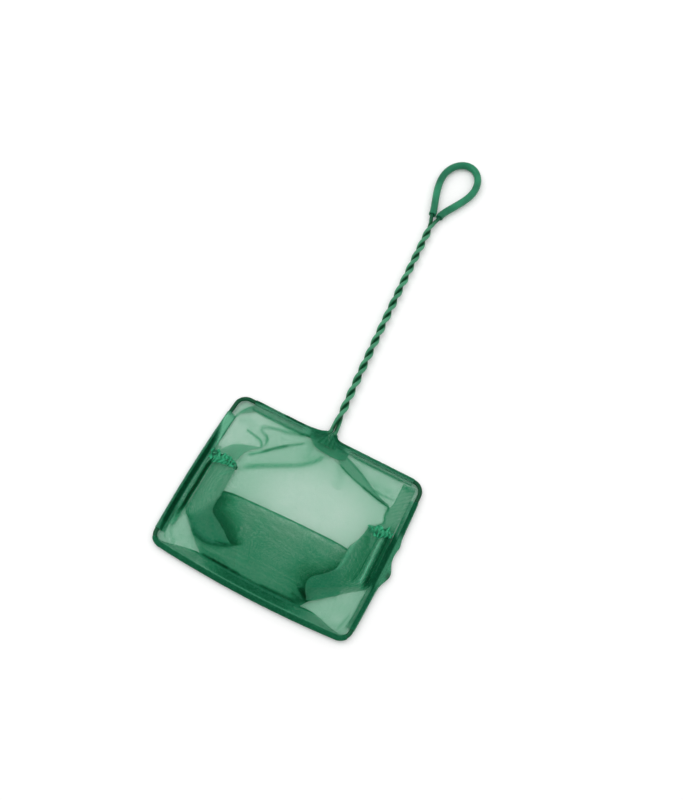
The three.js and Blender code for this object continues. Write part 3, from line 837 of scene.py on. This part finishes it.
# Creases: the line, how wide it is, how many plies it adds, how high it stands
PANEL_CREASES = [
    ([(-60.5, 58.6), (-62.6, 58.2), (-66, 54), (-68.4, 49), (-69, 46)], 0.8, 1.3, 0.4),
    (WIDE_DRAPE, 1.8, 0.85, 1.0),
    ([(-15, 53), (-18, 50), (-25, 44.6), (-33, 37.3), (-40, 30.2)], 0.9, 0.9, 1.0),
    ([(-24, 45.5), (-33, 37.3), (-40, 30.2), (-48, 23.8)], 0.9, 1.2, 0.3),
    ([(-16, 57.5), (-20, 57), (-30, 53.6), (-40, 51.4), (-45, 50), (-48, 47.4), (-46, 44.6), (-42, 43.2),
      (-40.4, 40), (-40, 36)], 1.3, 0.9, 1.0),
    ([(-43.6, 43.8), (-41, 42), (-40.2, 39), (-40.2, 35.5)], 0.6, 0.8, 0.2),
    ([(-58, 41.2), (-50, 39.7), (-44.5, 38.2), (-42.2, 35.6), (-42, 33)], 0.9, 1.3, 0.8),
    ([(-62, 57.2), (-40, 56.6), (-18, 56.8)], 0.7, 1.4, 0.2),
    ([(12.6, 57.6), (20, 54.4), (30, 50), (43, 43), (52, 38.8), (57, 37.4)], 0.7, 2.0, 0.5),
    ([(10.6, 51), (20, 46.6), (35, 42), (50, 38.4), (56.6, 37.4), (58.4, 35), (58.4, 30), (60, 24.5),
      (57, 21), (53, 18)], 0.7, 1.9, 0.5),
    ([(34, 42.4), (50, 38.4), (56.6, 37.4), (58.4, 35), (58.6, 31)], 0.8, 1.3, 0.3),
    ([(43, 44), (50, 43), (60, 43.5)], 0.9, 0.8, 0.4),
    ([(18, 59), (40, 58.9), (60, 58.8)], 0.6, 1.4, 0.2),
    ([(-14, 57), (-10, 48), (-9, 40)], 3.0, 0.3, 0.4),
    ([(12, 50), (18, 40), (20, 30)], 4.0, 0.25, 0.4),
    ([(20, 55), (38, 48), (58, 47)], 2.5, 0.25, 0.4),
    ([(-66.5, 46), (-60, 47), (-52, 45)], 2.5, 0.25, 0.4),
]
# Lines of painted highlight: the line, how wide it is, how strong
PANEL_LIGHT = [([(-49, 24), (-46, 26.5), (-42, 30.5), (-40.6, 33)], 0.8, 0.8)]
POCKET_CREASES = [
    ([(46, -26), (40, -34), (36, -42), (35.5, -49)], 3.0, 1.6, 0.0),
    ([(30, -44), (34, -47), (38.5, -48.6)], 1.6, 2.6, 0.0),
    ([(27, -42), (30, -46), (37, -49.5)], 0.7, 0.8, 0.3),
    ([(-44, -50.4), (-36, -51.6), (-20, -52.6)], 1.0, 0.8, 0.2),
    ([(-40, -54.6), (-25, -55), (-8, -55.3)], 1.5, 1.6, 0.0),
    ([(-31, -54.9), (-24, -55.1), (-18, -55.2)], 0.9, 1.6, 0.0),
    ([(-55, -41.5), (-50.5, -44.4), (-45, -46.2), (-38, -46.4), (-30, -43.6), (-22, -39.4)], 1.5, 2.0, 0.0),
    ([(-42, -54.6), (-20, -55.4), (0, -55.8), (20, -55.3), (38, -54.6)], 0.8, 2.4, 0.0),
    ([(4, -55), (16, -54.6), (30, -53.6), (36, -52.6)], 1.0, 1.8, 0.2),
    ([(26, -50), (32, -51.5), (40, -50.5)], 1.4, 1.6, 0.2),
    ([(-14, -12), (-9, -30), (-8, -46)], 6.0, 0.4, 0.5),
    ([(20, -10), (24, -26), (22, -40)], 6.0, 0.45, 0.5),
]
LEFT_SIDE_CREASES = [
    ([(-46, -29), (-40, -36), (-32, -41.4)], 1.8, 0.6, 0.3),
    ([(-62.5, -34), (-57, -39), (-50.5, -44.6), (-45, -46.6), (-38, -46.8), (-30, -44), (-23, -40.4)],
     2.6, 3.0, 0.0),
    ([(-53, -43), (-45, -46.2), (-38, -46.6), (-29, -43.4)], 2.6, 3.6, 0.0),
    ([(-49.2, 9), (-52, 5), (-56, 1)], 1.0, 0.7, 0.3),
    ([(-64, 8), (-63.8, -20), (-62.6, -32)], 0.7, 1.0, 0.0),
]
RIGHT_SIDE_CREASES = [
    ([(52, 17), (51, 10), (49, 3)], 1.2, 1.2, 0.2),
    ([(54, 12), (56.5, 0), (57, -14), (54, -26)], 3.0, 0.9, 0.3),
    ([(61, 15), (60.8, 0), (60.6, -14), (59, -24)], 0.9, 1.8, 0.3),
    ([(66.8, 19), (67.4, 0), (67.8, -24)], 1.7, 4.0, 0.3),
    ([(70.8, 20), (71.2, 0), (71.4, -25)], 2.0, 3.4, 0.3),
    ([(66, -24), (61, -26.6), (52, -31.8), (44, -36.4), (36, -41)], 0.9, 0.7, 0.2),
]
RIGHT_THIN = Line([(33, -43), (44, -36.4), (52, -31.8), (61, -26.6), (72, -21)])
# Lines of painted highlight on the side folds: the line, how wide it is, how strong
LEFT_SIDE_LIGHT = [([(-56, 4), (-56, -12), (-57, -27)], 6.0, 0.3)]
RIGHT_SIDE_LIGHT = [([(63.6, 14), (63.6, 0), (64, -12), (64, -22)], 0.8, 0.8),
                    ([(51.6, 12), (48.6, 0), (48, -14), (46, -21)], 1.2, 0.35)]


def on_creases(x, y, creases, low=0.0):
    """Extra plies near narrow folds, which fall to the share low at their ends, and their height."""
    plies_and_shade = np.zeros_like(x)
    height = np.zeros_like(x)
    for points, width, strength, rise in creases:
        gap, share, _ = Line(points).near(x, y)
        ends = mix(low, 1, smooth(share / 0.1) * smooth((1 - share) / 0.1))
        bell = hump(gap, 0, width) * ends
        plies_and_shade += strength * bell
        height += rise * bell
    return plies_and_shade, height


def along_lines(x, y, lines):
    """How near places are to a few lines, from 0 to each line's strength."""
    return sum(strength * hump(Line(points).near(x, y)[0], 0, width) for points, width, strength in lines)


def between(first, second, across, along):
    """Places part of the way across from one line to another."""
    return mix(first.at(along), second.at(along), across)


def patch_between(left, right, bottom, top):
    """Places on a sheet with four curved edges, for shares across and up it."""
    def place(u, v):
        ends = [between(left, right, u, 0 * u + end) for end in (0, 1)]
        return between(left, right, u, v) + between(bottom, top, v, u) - mix(*ends, v)
    return place


def handle_panel():
    """The panel sewn to the handle-side hem: it lies under all the rest, down to the bottom seam."""
    left = Line([(-65.5, 62), (-71, 59), (-72.4, 53), (-72, 46), (-70.6, 40), (-70.6, 10), (-70, -15),
                 (-67, -29), *LEFT_EDGE])
    right = Line([(66, 61), (70.2, 59.4), (72, 55), (72, 35), (72.4, 10), (72.9, -12), *RIGHT_EDGE])

    def cloth(u, v):
        x, y = between(left, right, u, v)
        _, rise = on_creases(x, y, PANEL_CREASES)
        z = 0.35 + np.abs(0.5 * waves(x, y, 22.0, 1.0)) + 0.12 * waves(x, y, 5.0, 2.0)
        edge = np.minimum.reduce([u, 1 - u, v, 1 - v])
        x, y, z = under_view(x, y, np.maximum(z * smooth(edge / 0.04) + rise, 0.2))
        many, _ = on_creases(x, y, PANEL_CREASES)
        # Painted shade: the panel is darker towards its edges, less so towards its upper left. It is darker
        # behind the wide drape too.
        away = smooth((np.hypot((x - 12) / 62, (y - 10) / 46) - 0.24) / 0.72)
        gap, _, side = Line(WIDE_DRAPE).near(x, y)
        behind = 0.3 * np.where(side < 0, np.exp(-gap / 14), np.exp(-gap / 2)) * (y > 10)
        lit = 1 - 0.6 * smooth((-20 - x) / 40) * smooth((y - 10) / 20)
        plies_and_shade = 1.05 + many + 0.5 * away * lit + behind + 0.06 * waves(x, y, 26.0, 4.0)
        return (x, y, z), plies_and_shade, along_lines(x, y, PANEL_LIGHT)

    return cloth_grid(270, 230, (138, 118), cloth)


def pleat(outer, inner, high, extra, light):
    """A pleat two plies thick between two lines through points, with its fold on the inner one and a painted
    highlight of strength light on its upper ply.
    """
    outer, inner = Line(outer), Line(inner)
    low = 0.9

    def cloth(u, v):
        back = np.abs(2 * u - 1)
        x, y = between(outer, inner, 1 - back**2.2, v)
        z = np.where(u < 0.5, low, mix(high, low, smooth(back) * 0.5))
        z = mix(z, (low + high) / 2, hump(back, 0, 0.12))
        z = z + 0.2 * waves(x, y, 6.0, 7.0) * (u > 0.5)
        plies_and_shade = 1.0 + extra + 0.6 * hump(2 * u - 1, 0, 0.2)
        return under_view(x, y, np.maximum(z, 0.3)), plies_and_shade, light * (u > 0.5)

    return cloth_grid(16, 60, (30, 60), cloth)


def neck_wrap():
    """The cloth that bunches up on the wire at the neck, in four pleats."""
    def cloth(u, v):
        x = mix(-8.5, 6, u) * (1 - 0.45 * v)
        y = mix(57, 69.2, v) - 10 * (u - 0.5) ** 2 * v
        x, y, z = under_view(x, y, 2.2 + 1.6 * np.sin(math.pi * u))
        turn = 2 * math.pi * 4 * u
        plies_and_shade = 3.2 + 0.8 * np.sin(turn) + 0.4 * waves(x, y, 2.0, 3.0)
        # A painted highlight along each pleat
        return (x, y, z), plies_and_shade, 0.2 * smooth(np.sin(turn + 1))

    return cloth_grid(24, 24, (12, 12), cloth)


def panel_pleats():
    """The handle panel's folds: by the left tack, two at the neck, in the corner and on the neck."""
    return [
        pleat([(-39.6, 36), (-42, 33), (-48, 31), (-56, 28), (-60, 25.4), (-64, 20), (-66.5, 15)],
              [(-39.6, 35), (-41.6, 32), (-46.4, 28), (-50, 22.5), (-51, 17), (-52, 12)], 2.4, -0.05, 0.5),
        pleat([(-16, 59.4), (-8, 60.5), (0, 61), (8, 60.8), (16, 58.8)],
              [(-14.5, 57.4), (-8.5, 52.8), (0, 51.2), (9.5, 50.9), (15.5, 53.2)], 2.6, 0.6, 0.0),
        pleat([(12.6, 57.6), (20, 54.4), (30, 50), (43, 43), (52, 38.8), (57.4, 37.2)],
              [(10.6, 51), (20, 46.6), (35, 42), (50, 38.2), (57.4, 36.6)], 2.0, -0.05, 0.4),
        pleat([(-62.6, 58.6), (-66, 54), (-68.2, 48.6)],
              [(-56.5, 57.6), (-61, 53.6), (-66.8, 49)], 1.8, -0.25, 0.35),
        neck_wrap()]


def over_height(x, y):
    """How high the far panel's upper ply stands: lifted in the middle, down beside the side folds."""
    rise = np.sin(math.pi / 2 * np.clip((y + 55) / 49, 0, 1))
    gap_left, _, side_left = LEFT_FOLD.near(x, y)
    gap_right, _, side_right = RIGHT_FOLD.near(x, y)
    free_left = smooth(gap_left * (side_left >= 0) / 17)
    free_right = smooth(gap_right * (side_right <= 0) / 11)
    return SEAM_HEIGHT + POCKET_RISE * rise * free_left * free_right


def over_plies_and_shade(x, y):
    """The upper ply bunches where it dives under the side folds, with painted shade there from the folds
    above it; it is also darker towards the far hem.
    """
    gap_left, share_left, side_left = LEFT_SHADE.near(x, y)
    gap_right, share_right, side_right = RIGHT_FOLD.near(x, y)
    past = smooth((share_left + 0.004 * gap_left - 0.82) / 0.14)
    within = smooth(side_left * gap_left / mix(0.02, 7, past) + 0.5)
    reach = mix(12.5, 9, smooth((share_left - 0.5) / 0.35))
    left = within * (1 - past) * np.exp(-((gap_left / reach) ** 2.2)) * smooth((share_left - 0.18) / 0.14)
    right = (side_right <= 0) * np.exp(-gap_right / 6.5) * smooth((share_right - 0.28) / 0.3)
    low = smooth((-8 - y) / 40)
    creases, _ = on_creases(x, y, POCKET_CREASES)
    return 1.0 + 3.3 * left + 3.0 * right + 0.7 * low + creases + 0.1 * waves(x, y, 25.0, 8.0)


def far_panel():
    """The panel sewn to the far hem: forward over the bag, under at the lip and back to the seam."""
    sheet = patch_between(POCKET_LEFT, POCKET_RIGHT, POCKET_SEAM, POCKET_LIP)

    def cloth(u, v):
        back = np.where(v < TURN_END, 1, (1 - v) / (1 - TURN_END))
        up = np.where(v < TURN_START, v / TURN_START, back)
        x, y = sheet(u, up)
        bend = np.clip((v - TURN_START) / (TURN_END - TURN_START), 0, 1)
        top = over_height(x, y)
        under = mix(UNDER_HEIGHT + 0.6 * (top - SEAM_HEIGHT), UNDER_HEIGHT, 1 - up)
        _, rise = on_creases(x, y, POCKET_CREASES)
        over = top + (0.3 * waves(x, y, 22.0, 11.0) + rise) * np.sin(math.pi * up)
        z = np.where(v < TURN_START, over, under)
        turning = mix(top, under, (1 - np.cos(math.pi * bend)) / 2)
        z = np.where((v >= TURN_START) & (v < TURN_END), turning, z)
        x, y, z = under_view(x, y + 0.5 * np.sin(math.pi * bend), np.maximum(z, 0.9))
        # Extra plies along the fold at the lip, and a painted highlight along the lip
        plies_and_shade = np.where(v < TURN_END, over_plies_and_shade(x, y), 1.0) + 2.4 * hump(v, TURN_START, 0.009)
        return (x, y, z), plies_and_shade, 0.35 * hump(v, TURN_END - 0.012, 0.008)

    mesh = cloth_grid(150, 220, (95, 96), cloth)
    piece = finish_piece("far_panel_cloth", mesh, MESH_GREEN, "bag_mesh", "far_panel")


def side_fold(outer, fold, high, creases, light, seed, thin=None):
    """A side of the bag folded double beside the pocket, its fold towards the middle.

    Past the thin line there is a ply less of it.
    """
    def cloth(u, v):
        back = np.abs(2 * u - 1)
        x, y = between(outer, fold, 1 - back**2.4, v)
        on_pocket = smooth((v - 0.35) / 0.25)
        base = mix(PLY_HEIGHT, np.maximum(over_height(x, y) - 1.2, PLY_HEIGHT), on_pocket)
        z = np.where(u < 0.5, base, base + mix(high, 0.5, back**3))
        z = mix(z, base + high * 0.5, hump(back, 0, 0.09))
        _, rise = on_creases(x, y, creases)
        z = z + (0.2 * waves(x, y, 11.0, seed) + rise) * (u > 0.5)
        x, y, z = under_view(x, y, np.maximum(z, 0.9))
        many, _ = on_creases(x, y, creases, 0.6)
        if thin is not None:
            gap, _, side = thin.near(x, y)
            many = many + 0.9 * smooth(0.5 + side * gap) - 0.2
        plies_and_shade = 1.1 + many * (u > 0.5) + 0.3 * hump(2 * u - 1, 0, 0.1) + 0.06 * waves(x, y, 12.0, 21.0)
        # light gives lines of painted highlight on the upper ply
        return (x, y, z), plies_and_shade, along_lines(x, y, light) * (u > 0.5)

    return cloth_grid(90, 130, (36, 80), cloth)


def corner_sheet(left, right, seed, creases):
    """The single ply of a side of the bag that shows beside the pocket, down in the hoop's corner."""
    ends = [Line([left[k], right[k]]) for k in (0, -1)]
    sheet = patch_between(Line(left), Line(right), *ends)

    def cloth(u, v):
        x, y = sheet(u, v)
        x, y, z = under_view(x, y, np.maximum(PLY_HEIGHT + 0.3 * waves(x, y, 10.0, seed), 0.8))
        plies_and_shade = 1.7 + 0.3 * waves(x, y, 9.0, seed + 3) + on_creases(x, y, creases)[0]
        return (x, y, z), plies_and_shade, 0

    return cloth_grid(50, 60, (22, 40), cloth)


def left_side_strip():
    """The dark, bunched cloth beside the left hem."""
    def cloth(u, v):
        x = mix(-69.0, -65.1, u) + 0.5 * waves(9 * v, v, 1.0, 71.0)
        x, y, z = under_view(x, mix(20, -47, v), 2.4 + 0.6 * np.sin(math.pi * u))
        plies_and_shade = 1.2 + 6.6 * np.sin(math.pi * u) * smooth((y + 48) / 22) * smooth((12 - y) / 8)
        return (x, y, z), plies_and_shade, 0

    return cloth_grid(12, 80, (8, 60), cloth)


def upper_side_strip():
    """The right side above its gathers, folded double along the hem."""
    left = Line([(60, 57), (60.2, 48), (60, 40), (58.6, 34.6), (59, 29), (60, 24.5), (57, 20.6), (54, 18)])
    right = Line([(69.4, 58), (69.8, 48), (69.6, 35), (69.4, 26), (69.4, 18)])

    def cloth(u, v):
        x, y = between(left, right, u, v)
        x, y, z = under_view(x, y, 1.4 + 0.9 * np.sin(math.pi * u) + 0.25 * waves(x, y, 6.0, 61.0))
        edges = hump(u, 0, 0.07) + 0.5 * hump(u, 1, 0.08)
        lower = smooth((30 - y) / 10) * smooth((x - 60) / 8)
        blot = hump(x, 64, 4.5) * hump(y, 55, 2.2)
        plies_and_shade = 1.25 + 0.9 * edges + 1.3 * blot + lower + 0.2 * waves(x, y, 5.0, 62.0)
        return (x, y, z), plies_and_shade, 0

    return cloth_grid(30, 90, (20, 42), cloth)


def gusset(node, sheets):
    """One side of the bag."""
    piece = finish_piece(node + "_cloth", joined(sheets), MESH_GREEN, "bag_mesh", node)


def gussets():
    bottom = CORNER_BOTTOM
    gusset("left_gusset", [
        side_fold(LEFT_OUTER, LEFT_FOLD, 2.0, LEFT_SIDE_CREASES, LEFT_SIDE_LIGHT, 17.0),
        corner_sheet([(-66, bottom), (-71.2, -59.6), (-72.6, -53), (-72.6, -28)],
                     [(-39, bottom), (-42, -54), (-50, -46.6), (-62, -34), (-64, -28)], 25.0,
                     [([(-70, -46), (-68.5, -52), (-65.5, -57.5)], 0.7, 0.8, 0),
                      ([(-66, -36), (-66.5, -46), (-64, -52), (-58, -56)], 1.2, 0.5, 0)]),
        left_side_strip()])
    gusset("right_gusset", [
        side_fold(RIGHT_OUTER, RIGHT_FOLD, 2.4, RIGHT_SIDE_CREASES, RIGHT_SIDE_LIGHT, 19.0, RIGHT_THIN),
        corner_sheet([(36, bottom), (37, -53.6), (43, -47), (58, -34.2), (72.5, -22.3)],
                     [(66, bottom), (71.2, -59.6), (72.6, -53), (73, -24)], 27.0,
                     [([(70.2, -30), (70, -42), (68.6, -56)], 0.6, 0.8, 0),
                      ([(67.6, -44), (66, -52), (64.5, -57)], 1.0, 0.7, 0)]),
        upper_side_strip()])


def tack(name, node, middle, heights, pleats, seed, dimples):
    """Cloth gathered tight on thread: pleats across a short line, pinched along it and loose beyond.

    heights are half its height at its start, just past it, further on and at its end, and dimples
    are the hollows where it is pulled in, sunk and given painted shade: their x, y and size.
    """
    line = Line(middle)

    def cloth(u, v):
        x, y = line.at(u)
        off = 2 * v - 1
        ends = np.sin(math.pi * np.clip(u, 0.06, 0.94)) ** 0.6
        ragged = 0.85 + 0.5 * waves(u * 6, np.sign(off), 1.0, seed)
        reach = np.interp(u, (0, 0.12, 0.3, 1), heights) * ragged * ends
        wander = 1.3 * waves(u * 5, off * 1.5, 1.0, seed + 1)
        x, y = x + wander + 0.6 * off * waves(u * 7, off, 1.0, seed + 4), y + off * reach
        drift = 0.8 * waves(u * 4, v * 1.5, 1.0, seed + 1)
        fold = np.sin(2 * math.pi * (pleats * u + drift)) * (0.65 + 0.5 * waves(u * 7, v * 3, 1.0, seed + 6))
        dimple = sum(hump(x, a, size) * hump(y, b, size * 1.6) for a, b, size in dimples)
        loose = mix(0.35, 1.0, np.abs(off) ** 0.7)
        lump = 1.1 * (1 - off**2) * (0.6 + 0.6 * waves(u * 4, off, 1.0, seed + 2))
        z = np.maximum(2.8 + 0.8 * loose * fold + lump - 1.6 * np.clip(dimple, 0, 1), 1.2)
        # Painted shade in the pleats' troughs and in the dimples, and a painted highlight on the crests
        plies_and_shade = 3.0 + 1.2 * smooth(-fold) + 3 * np.clip(dimple, 0, 1)
        shine = 0.7 + 0.3 * fold + 0.25 * waves(x, y, 2.5, seed + 8) - 1.2 * dimple
        return (x, y, z), plies_and_shade, np.clip(shine, 0, 1)

    gathers = cloth_grid(150, 40, (line.run[-1] * 2, 12), cloth)
    finish_piece(name, gathers, GATHERED_GREEN, "tack_thread", node)
    ties = []
    for i in range(TIES):
        x, y = (float(a) for a in line.at((i + 0.8) / (TIES + 0.5)))
        ties.append((x, y + 0.6 * math.cos(i * 3.0), TIE_HEIGHT, 0.5 * math.sin(i * 2.1 + seed)))
    threads(name + "_thread", ties, TIE_HALF_LENGTH, TIE_RADIUS, 2)


def tacks():
    tack("left_tack_bundle", "left_seam_tack",
         [(-70, 12.4), (-64, 11.6), (-58, 12.4), (-52, 12), (-48, 10.8)], (15, 11.5, 5.0, 3.8), 8, 51.0,
         [(-67.6, 13.4, 1.7), (-66.6, 5.4, 0.9), (-57, 12.6, 0.55), (-54.3, 13, 0.6), (-52, 12.2, 0.6),
          (-49.4, 10.6, 1.2), (-62.5, 15, 0.8)])
    tack("right_tack_bundle", "right_seam_tack", [(51.6, 16.4), (58, 16), (64, 17.4), (69.6, 18.4)],
         (5.2, 5.0, 5.0, 5.6), 7, 57.0,
         [(54, 13, 1.5), (58.6, 15, 0.8), (67, 14.4, 1.2), (63, 20, 0.6), (61.4, 14.6, 0.5)])


def build_net():
    frame_wire()
    loop_tube()
    hems()
    mesh = joined([handle_panel(), *panel_pleats()])
    panel = finish_piece("handle_panel_cloth", mesh, MESH_GREEN, "bag_mesh", "handle_panel")
    far_panel()
    gussets()
    tacks()


# Floor, light and camera

def rays(tree, *kinds):
    """1 for rays of the given kinds, and 0 for others."""
    path = add_node(tree, "LightPath")
    seen = path.outputs[f"Is {kinds[0]} Ray"]
    for kind in kinds[1:]:
        seen = maths(tree, "ADD", seen, path.outputs[f"Is {kind} Ray"])
    return seen


def floor():
    """A pale floor that goes white at a distance and keeps the net's shadow."""
    mesh = mesh_of(grid(1, 1, FLOOR_HALF), "floor")
    piece = linked("floor", mesh)
    piece.location.z = -FLOOR_DROP
    material, tree = new_material("floor_white")
    away = maths(tree, "LENGTH", object_coordinates(tree), kind="VectorMath").node.outputs["Value"]
    glow = share_between(tree, away, GLOW_FROM[0], GLOW_TO[0], GLOW_FROM[1], GLOW_TO[1])
    light = maths(tree, "MULTIPLY", rays(tree, "Camera", "Glossy", "Transmission"), glow)
    plain = add_node(tree, "BsdfDiffuse", (0.94, 0.94, 0.94, 1))
    glowing = add_node(tree, "Emission", Strength=light)
    both = add_node(tree, "AddShader", plain.outputs[0], glowing.outputs[0])
    mesh.materials.append(with_surface(material, both))


def softbox(name, place, size, power):
    """A square light that faces the net."""
    lamp = bpy.data.lights.new(name, "AREA")
    lamp.shape = "SQUARE"
    lamp.size = size
    lamp.energy = power
    holder = linked(name, lamp)
    holder.location = place
    holder.rotation_mode = "QUATERNION"
    holder.rotation_quaternion = (-Vector(place)).to_track_quat("-Z", "Y")


def light_and_camera():
    scene = bpy.context.scene
    scene.world = bpy.data.worlds.new("studio")
    scene.world.use_nodes = True
    tree = scene.world.node_tree
    background = tree.nodes["Background"]
    background.inputs["Color"].default_value = (1, 1, 1, 1)
    strength = maths(tree, "MULTIPLY_ADD", rays(tree, "Camera", "Transmission"), 1 - SKY, SKY)
    tree.links.new(strength, background.inputs["Strength"])
    for box in SOFTBOXES:
        softbox(*box)
    camera = bpy.data.cameras.new("camera")
    camera.lens = LENS
    holder = linked("camera", camera)
    place = in_frame((*CAMERA_PLACE, CAMERA_ABOVE_WIRE + WIRE_HEIGHT))
    turn = Matrix((CAMERA_RIGHT, CAMERA_UP, CAMERA_BACK)).transposed().to_4x4()
    holder.matrix_world = Matrix.Translation(place) @ turn
    scene.camera = holder
    scene.view_settings.view_transform = "Standard"
    scene.cycles.transparent_max_bounces = 32


build_net()
floor()
light_and_camera()
